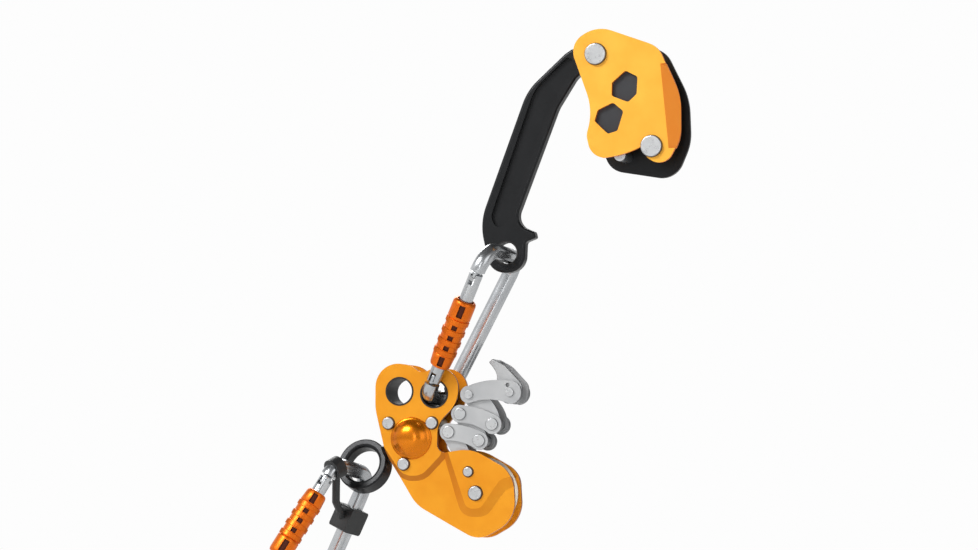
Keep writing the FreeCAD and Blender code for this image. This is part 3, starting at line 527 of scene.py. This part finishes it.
@dataclass
class Connector:
    """The forged body and the turned locking sleeve of one connector, in millimetres.

    Attributes:
        shop: Keeps the materials.
        seat: Where the connector sits.
        loop: Centre line of its bar.
        groove_low: Depth of the groove at the small end, as a share of its full depth.
        groove_start: Height at which the groove starts to deepen.
        groove_run: Length over which the groove deepens, or fades towards the nose.
        nose_gap: Gap between the gate's corner and the start of that fading.
        nose_depth: Share of the groove that is left at the nose.
        squareness: How square the grooved bar's section is.
        slimness: Width of the bar's section as a share of its thickness.
        tongues: Place and length of each tongue, from the gate's lower end or back from its upper end.
        tongue_width: Width of a tongue across the gate.
        tongue_thickness: Thickness of a tongue.
        tongue_round: Rounding of a tongue's edges.
        sleeve_radius: Outer radius of the sleeve.
        sleeve_bore: Inner radius of the sleeve.
        sleeve_at: Height of the sleeve on the gate.
        bands: Number of knurled rings.
        first_band: Height of the lowest ring's lower edge.
        band_height: Height of a ring.
        band_edge: Height of a ring's sloping edge.
        band_rise: Rise of a ring over the sleeve's radius.
        waist_depth: Depth of the smooth bands between the rings.
        lower_end: Height and inset of each row below the rings.
        upper_end: Height and inset of each row above the rings.
        knurl_rows: Rows of points across a ring's knurl.
        knurl_step: Distance from row to row of the knurl.
        knurl_depth: Depth of the knurl.
        window_ends: Heights of a window's ends above the ring below it.
        window_pitch: Distance from window to window.
        first_window: Height of the lowest window's middle.
        window_half: Half the range of heights in which a face belongs to a window.
        slots: Lower and upper ends of the two slots.
        opening_half_turn: Half the angle that a window or a slot takes, in degrees.
        opening_depth: Radius of an opening's floor, as a share of the sleeve's own.
        groove_half: Half the width of the groove's floor.
        groove_blend: Width of the groove's sloping side.
        groove_share: Depth of the groove as a share of the bar's half thickness.
        facets: Number of faces round the sleeve.
    """

    shop: Workshop
    seat: Seat
    loop: Loop = Loop()
    groove_low: float = 0.35
    groove_start: float = 4.0
    groove_run: float = 14.0
    nose_gap: float = 2.0
    nose_depth: float = 0.3
    squareness: float = 0.22
    slimness: float = 0.97
    tongues: tuple[tuple[float, float], ...] = ((3.0, 6.5), (-2.0, 4.7))
    tongue_width: float = 6.4
    tongue_thickness: float = 2.9
    tongue_round: float = 1.3
    sleeve_radius: float = 6.8
    sleeve_bore: float = 5.0
    sleeve_at: float = 11.5
    bands: int = 4
    first_band: float = 8.4
    band_height: float = 2.8
    band_edge: float = 0.3
    band_rise: float = 0.2
    waist_depth: float = 0.5
    lower_end: tuple[tuple[float, float], ...] = ((0.0, 2.0), (0.4, 1.2), (1.6, 0.7), (7.6, 0.2))
    upper_end: tuple[tuple[float, float], ...] = (
        (31.9, 0.0), (33.2, 0.0), (40.8, 0.0), (42.2, 0.3), (42.8, 1.0), (43.0, 1.7))
    knurl_rows: int = 4
    knurl_step: float = 0.93
    knurl_depth: float = 0.5
    window_ends: tuple[float, float] = (0.5, 3.3)
    window_pitch: float = 6.6
    first_window: float = 13.05
    window_half: float = 1.0
    slots: tuple[tuple[float, float], ...] = ((2.0, 7.0), (34.0, 40.5))
    opening_half_turn: float = 13.0
    opening_depth: float = 0.86
    groove_half: float = 1.1
    groove_blend: float = 1.7
    groove_share: float = 0.42
    facets: int = 48

    def build(self) -> None:
        """Builds the body and the sleeve in place of their frame nodes."""
        self._body()
        self._sleeve()

    def _groove(self, point: Vector) -> float:
        """How deep the forged groove is at a point of the bar, from 0 to 1."""
        level = min(1.0, max(self.groove_low, (point.z - self.groove_start) / self.groove_run))
        nose = min(1.0, max(0.0, (point.x - self.loop.gate[1] - self.nose_gap) / self.groove_run))
        return level * (self.nose_depth + (1 - self.nose_depth) * nose)

    def _body(self) -> None:
        """The forged bar: round in the crook, and an I section along the spine and the large end."""
        loop = self.loop
        route = loop.route()
        last = len(route) - 1

        def shape(turn: float, ring: int) -> Vector:
            """Gives a point of the bar's surface."""
            here = route[ring]
            along = (route[min(ring + 1, last)] - route[max(ring - 1, 0)]).normalized()
            out = along.cross(Vector((0, 1, 0)))
            groove = self._groove(here)
            power = 1.0 - self.squareness * groove
            x = loop.bar * math.copysign(abs(math.cos(turn)) ** power, math.cos(turn))
            y = loop.bar * math.copysign(abs(math.sin(turn)) ** power, math.sin(turn))
            slope = min(1.0, max(0.0, (self.groove_half + self.groove_blend - abs(x)) / self.groove_blend))
            dip = slope * slope * (3 - 2 * slope)
            height = y * (1 - self.groove_share * groove * dip)
            return here + out * x * self.slimness + Vector((0, height, 0))

        mesh = skin(72, len(route), shape)
        start, along, length = loop.gate_line()
        for at, reach in self.tongues:
            middle = start + along * (at if at > 0 else length + at)
            self._tongue(mesh, middle, along, reach)
        bmesh.ops.transform(mesh, matrix=self.seat.matrix(), verts=mesh.verts)
        name = self.seat.prefix + "_connector"
        body = self.shop.place(name + "_forging", mesh, (Palette.FORGED,), name, "connector_silver", 50.0)
        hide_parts(name + "_body")

    def _tongue(self, mesh: bmesh.types.BMesh, middle: Vector, along: Vector, length: float) -> None:
        """Adds the flat tongue that the gate's fork straddles.

        Args:
            mesh: The body's mesh.
            middle: The tongue's middle.
            along: Direction of the gate.
            length: The tongue's length.
        """
        cube = bmesh.ops.create_cube(mesh, size=1.0)["verts"]
        out = along.cross(Vector((0, 1, 0)))
        thick = Vector((0, self.tongue_thickness, 0))
        axes = Matrix((out * self.tongue_width, thick, along * length)).transposed().to_4x4()
        bmesh.ops.transform(mesh, matrix=Matrix.Translation(middle) @ axes, verts=cube)
        edges = list({e for v in cube for e in v.link_edges})
        bmesh.ops.bevel(mesh, geom=edges, offset=self.tongue_round, affect="EDGES", segments=4,
                        profile=0.5, material=-1)

    def _sleeve(self) -> None:
        """The sleeve: knurled rings that part smooth bands, each with a square window."""
        start, along, _ = self.loop.gate_line()
        out = along.cross(Vector((0, 1, 0)))
        rows = self._rows()
        rows += [(rows[-1][0], self.sleeve_bore, False), (rows[0][0], self.sleeve_bore, False)]
        origin = start + along * self.sleeve_at
        front = self.seat.matrix().to_3x3().inverted() @ Vector(FRONT)
        facing = math.atan2(front.y, front.dot(out))

        def shape(turn: float, ring: int) -> Vector:
            """Gives a point of the sleeve's surface."""
            z, r, knurled = rows[ring]
            step = round(turn / (2 * math.pi) * self.facets)
            if knurled and (step + ring) % 2:
                r -= self.knurl_depth
            angle = turn + facing
            return origin + along * z + out * r * math.cos(angle) + Vector((0, r * math.sin(angle), 0))

        mesh = bmesh.new()
        bmesh.ops.create_grid(mesh, x_segments=self.facets, y_segments=len(rows), size=1.0)
        for vert in mesh.verts:
            ring = round((vert.co.y + 1) / 2 * len(rows)) % len(rows)
            vert.co = shape((vert.co.x + 1) * math.pi, ring)
        bmesh.ops.remove_doubles(mesh, verts=mesh.verts, dist=1e-5)
        self._windows(mesh, origin, along, out, facing)
        bmesh.ops.transform(mesh, matrix=self.seat.matrix(), verts=mesh.verts)
        name = self.seat.prefix + "_connector_sleeve"
        sleeve = self.shop.place(name + "_turned", mesh, (Palette.SLEEVE, Palette.SLEEVE_WINDOW_PAINTED_SHADE),
                                 self.seat.prefix + "_sleeve", "sleeve_orange", 40.0)
        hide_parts(name)

    def _rows(self) -> list[tuple[float, float, bool]]:
        """Height, radius and knurl of each row of points, from the lower end to the upper end."""
        waist = self.sleeve_radius - self.waist_depth
        crest = self.sleeve_radius + self.band_rise
        rows = [(z, self.sleeve_radius - inset, False) for z, inset in self.lower_end]
        for band in range(self.bands):
            low = self.first_band + self.window_pitch * band
            high = low + self.band_height
            rows.append((low - self.band_edge, waist, False))
            rows += [(low + self.knurl_step * k, crest, True) for k in range(self.knurl_rows)]
            rows.append((high + self.band_edge, waist, False))
            if band < self.bands - 1:
                rows += [(high + z, waist, False) for z in self.window_ends]
        return rows + [(z, self.sleeve_radius - inset, False) for z, inset in self.upper_end]

    def _windows(self, mesh: bmesh.types.BMesh, origin: Vector, along: Vector, out: Vector,
                 facing: float) -> None:
        """Sinks the three square windows and the slots at both ends, on three sides of the sleeve, and
        paints shade into them.
        """
        faces = []
        for face in mesh.faces:
            local = face.calc_center_median() - origin
            z = local.dot(along)
            angle = math.atan2(local.y, local.dot(out)) - facing
            turned = abs((math.degrees(angle) + 60) % 120 - 60)
            outside = local.length_squared - z * z > (self.sleeve_radius - 1.2) ** 2
            window = any(abs(z - self.first_window - self.window_pitch * k) < self.window_half
                         for k in range(self.bands - 1))
            slot = any(low < z < high for low, high in self.slots)
            if outside and (window or slot) and turned < self.opening_half_turn:
                faces.append(face)
        grown = bmesh.ops.extrude_face_region(mesh, geom=faces)
        bmesh.ops.delete(mesh, geom=faces, context="FACES")
        sunk = [g for g in grown["geom"] if isinstance(g, bmesh.types.BMVert)]
        for vert in sunk:
            local = vert.co - origin
            axis_point = origin + along * local.dot(along)
            vert.co = axis_point + (vert.co - axis_point) * self.opening_depth
            # The sunk faces take the second finish, a painted shade.
            for face in vert.link_faces:
                face.material_index = 1


@dataclass
class Dome:
    """The two spun covers over the swivel's bearing, each one bell shaped, in millimetres.

    Attributes:
        shop: Keeps the materials.
        centre: The covers' axis, as x and z.
        foot: Height of the covers' feet over the middle plane.
        profile: Radius and rise of each point from the rim to the top.
    """

    shop: Workshop
    centre: tuple[float, float] = (7.0, -27.3)
    foot: float = 12.0
    profile: tuple[tuple[float, float], ...] = (
        (12.3, 0.0), (12.2, 0.45), (11.8, 0.8), (11.2, 1.0), (10.6, 1.35), (9.8, 2.1), (8.9, 3.05),
        (7.7, 3.95), (6.3, 4.7), (4.8, 5.25), (3.2, 5.58), (1.6, 5.74), (0.0, 5.8))

    def build(self) -> None:
        """Spins both covers."""
        for side, name in ((-1, "front_bearing_cover"), (1, "rear_bearing_cover")):
            mesh = bmesh.new()
            line = [mesh.verts.new((r, side * (self.foot + rise), 0)) for r, rise in self.profile]
            line.insert(0, mesh.verts.new((0, side * self.foot, 0)))
            edges = [mesh.edges.new(pair) for pair in zip(line, line[1:])]
            bmesh.ops.spin(mesh, geom=line + edges, cent=Vector(), axis=Vector((0, 1, 0)), dvec=Vector(),
                           angle=2 * math.pi, steps=72, use_merge=True, use_duplicate=False)
            bmesh.ops.remove_doubles(mesh, verts=mesh.verts, dist=1e-4)
            x, z = self.centre
            bmesh.ops.translate(mesh, vec=Vector((x, 0, z)), verts=mesh.verts)
            bmesh.ops.scale(mesh, vec=Vector((MM, MM, MM)), verts=mesh.verts)
            cover = self.shop.place(name + "_spun", mesh, (Palette.CAP,), "hitch_frame",
                                    "bearing_amber", 50.0)
            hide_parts(name)


@dataclass(frozen=True)
class Head:
    """A riveted head: its centre (x, z), its radius and how far forward it sits, in millimetres."""

    name: str
    body: str
    places: tuple[tuple[float, float], ...]
    radius: float
    depth: float


@dataclass
class PaintedHeadShadows:
    """Thin rings of painted shade round the riveted heads, in millimetres.

    Attributes:
        shop: Keeps the materials.
        heads: The heads that get a ring.
        wire: Half the thickness of a ring.
    """

    shop: Workshop
    heads: tuple[Head, ...] = (
        Head("frame_rivet", "hitch_frame", ((-6.6, -18.5), (19.5, -18.5), (2.5, -42.3)), 3.6, 12.0),
        Head("anchor_stud", "hitch_frame", ((41.2, -46.9),), 3.0, 12.0),
        Head("axle", "hitch_frame", ((45.5, -59.3),), 4.2, 12.0),
        Head("brake_pin", "brake", ((117.2, 194.3), (150.2, 140.3)), 6.2, 12.15),
    )
    wire: float = 0.32

    def build(self) -> None:
        """Lays a thin ring of painted shade at the foot of every head, front and back."""
        for head in self.heads:
            mesh = bmesh.new()
            sides = (-1,) if head.body == "brake" else (-1, 1)
            for x, z in head.places:
                for side in sides:
                    self._ring(mesh, Vector((x, side * head.depth, z)), head.radius)
            bmesh.ops.scale(mesh, vec=Vector((MM, MM, MM)), verts=mesh.verts)
            self.shop.place(head.name + "_seam", mesh, (Palette.SEAM,), head.body, "rivet_steel", 60.0)

    def _ring(self, mesh: bmesh.types.BMesh, centre: Vector, radius: float) -> None:
        """Adds one thin ring round a head's axis."""
        wire = bmesh.ops.create_circle(mesh, segments=8, radius=self.wire)["verts"]
        bmesh.ops.translate(mesh, vec=centre + Vector((radius, 0, 0)), verts=wire)
        edges = list({e for v in wire for e in v.link_edges})
        bmesh.ops.spin(mesh, geom=wire + edges, cent=centre, axis=Vector((0, 1, 0)), dvec=Vector(),
                       angle=2 * math.pi, steps=40, use_merge=True, use_duplicate=False)


@dataclass(frozen=True)
class Lamp:
    """A soft rectangular lamp.

    Attributes:
        name: What it does.
        place: Where it stands.
        width: Its longer side.
        height: Its shorter side.
        power: Its power in watts.
    """

    name: str
    place: tuple[float, float, float]
    width: float
    height: float
    power: float


@dataclass
class Studio:
    """A pale floor, soft lamps and the camera.

    Attributes:
        aim: The point that the camera and the lamps face.
        azimuth: The camera's turn to the right of the front, in degrees.
        elevation: The camera's height over the aim, in degrees.
        distance: From the camera to the aim.
        field_width: Width of what the camera sees at the aim.
        floor_drop: Gap between the lowest piece and the floor.
        room: Brightness of the surroundings by height, from straight down at 0 to straight up at 1.
        left_light: Strength of the surroundings on the left.
        right_light: Strength of the surroundings on the right.
        lamps: The soft lamps.
    """

    aim: tuple[float, float, float] = (0.0477, 0.0119, 0.0684)
    azimuth: float = 14.0
    elevation: float = -3.0
    distance: float = 3.0
    field_width: float = 0.572
    floor_drop: float = 0.06
    room: tuple[tuple[float, float], ...] = (
        (0.0, 0.10), (0.36, 0.20), (0.5, 0.62), (0.66, 1.0), (0.92, 0.12))
    left_light: float = 0.95
    right_light: float = 0.32
    lamps: tuple[Lamp, ...] = (
        Lamp("key_upper_left", (-1.2, -1.9, 1.7), 1.2, 0.9, 56.0),
        Lamp("fill_right", (1.9, -1.3, 0.5), 1.4, 1.4, 8.0),
        Lamp("strip_front", (0.25, -2.1, -0.15), 0.25, 1.6, 5.0),
        Lamp("rim_back", (-0.6, 1.8, 1.3), 1.4, 0.8, 24.0),
    )

    def build(self) -> None:
        """Sets up the floor, the surroundings, the lamps and the camera."""
        self._floor()
        self._surroundings()
        for lamp in self.lamps:
            self._lamp(lamp)
        self._camera()

    def _floor(self) -> None:
        """Lays a wide pale floor below the lowest point."""
        low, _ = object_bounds()
        mesh = bmesh.new()
        bmesh.ops.create_grid(mesh, x_segments=1, y_segments=1, size=6.0)
        bmesh.ops.translate(mesh, verts=mesh.verts, vec=Vector((0, 0, low[2] - self.floor_drop)))
        data = bpy.data.meshes.new("floor")
        mesh.to_mesh(data)
        mesh.free()
        floor = bpy.data.objects.new("floor", data)
        bpy.context.collection.objects.link(floor)
        paper = bpy.data.materials.new("paper_matt_white")
        paper.use_nodes = True
        shader = paper.node_tree.nodes["Principled BSDF"]
        shader.inputs["Base Color"].default_value = linear("#F4F4F3")
        shader.inputs["Roughness"].default_value = 0.9
        data.materials.append(paper)
        floor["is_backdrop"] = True

    def _surroundings(self) -> None:
        """A white backdrop, and a room that darkens downwards and to the right for metal to mirror."""
        world = bpy.data.worlds.new("studio")
        world.use_nodes = True
        bpy.context.scene.world = world
        tree = world.node_tree
        tree.nodes.clear()
        place = add_node(tree, "ShaderNodeTexCoord")
        split = add_node(tree, "ShaderNodeSeparateXYZ", {}, {"Vector": place.outputs["Generated"]})
        height = add_node(tree, "ShaderNodeMapRange", {"From Min": -1.0, "From Max": 1.0},
                          {"Value": split.outputs["Z"]})
        ramp = add_node(tree, "ShaderNodeValToRGB", {}, {"Fac": height.outputs["Result"]})
        while len(ramp.color_ramp.elements) < len(self.room):
            ramp.color_ramp.elements.new(0.5)
        for element, (position, level) in zip(ramp.color_ramp.elements, self.room):
            element.position = position
            element.color = (level, level, level, 1.0)
        side = add_node(tree, "ShaderNodeMapRange",
                        {"From Min": -0.9, "From Max": 0.9, "To Min": self.left_light,
                         "To Max": self.right_light}, {"Value": split.outputs["X"]})
        room = add_node(tree, "ShaderNodeBackground", {},
                        {"Color": ramp.outputs["Color"], "Strength": side.outputs["Result"]})
        backdrop = add_node(tree, "ShaderNodeBackground", {"Color": linear("#FDFDFD"), "Strength": 1.0})
        rays = add_node(tree, "ShaderNodeLightPath")
        mix = add_node(tree, "ShaderNodeMixShader", {}, {"Fac": rays.outputs["Is Camera Ray"]})
        tree.links.new(room.outputs["Background"], mix.inputs[1])
        tree.links.new(backdrop.outputs["Background"], mix.inputs[2])
        add_node(tree, "ShaderNodeOutputWorld", {}, {"Surface": mix.outputs["Shader"]})

    def _lamp(self, lamp: Lamp) -> None:
        """Hangs one lamp, turned to the object."""
        light = bpy.data.lights.new(lamp.name, "AREA")
        light.shape = "RECTANGLE"
        light.size = lamp.width
        light.size_y = lamp.height
        light.energy = lamp.power
        obj = bpy.data.objects.new(lamp.name, light)
        obj.location = lamp.place
        aim = Vector(self.aim) - obj.location
        obj.rotation_euler = aim.to_track_quat("-Z", "Y").to_euler()
        bpy.context.collection.objects.link(obj)

    def _camera(self) -> None:
        """Sets the long-lens camera at its viewing angle."""
        lens = bpy.data.cameras.new("camera")
        lens.lens = lens.sensor_width * self.distance / self.field_width
        lens.clip_end = 50.0
        obj = bpy.data.objects.new("camera", lens)
        turn, rise = math.radians(self.azimuth), math.radians(self.elevation)
        away = Vector((math.sin(turn) * math.cos(rise), -math.cos(turn) * math.cos(rise), math.sin(rise)))
        obj.location = Vector(self.aim) + away * self.distance
        obj.rotation_euler = (-away).to_track_quat("-Z", "Y").to_euler()
        bpy.context.collection.objects.link(obj)
        bpy.context.scene.camera = obj


SEATS = (
    Seat("upper", (19.1, 0.0, -3.4), 27.6, 84.0, False),
    Seat("lower", (-29.8, -9.1, -45.1), 24.4, 66.0, True),
)


def main() -> None:
    """Builds the ascender's looks round its frame."""
    logging.basicConfig(level=logging.INFO, format="%(message)s")
    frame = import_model()
    shop = Workshop(frame)
    FrameDress(shop).build()
    for seat in SEATS:
        Connector(shop, seat).build()
    Dome(shop).build()
    PaintedHeadShadows(shop).build()
    scene = bpy.context.scene
    scene.view_settings.view_transform = "Standard"
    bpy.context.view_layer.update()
    Studio().build()


if __name__ == "__main__":
    main()
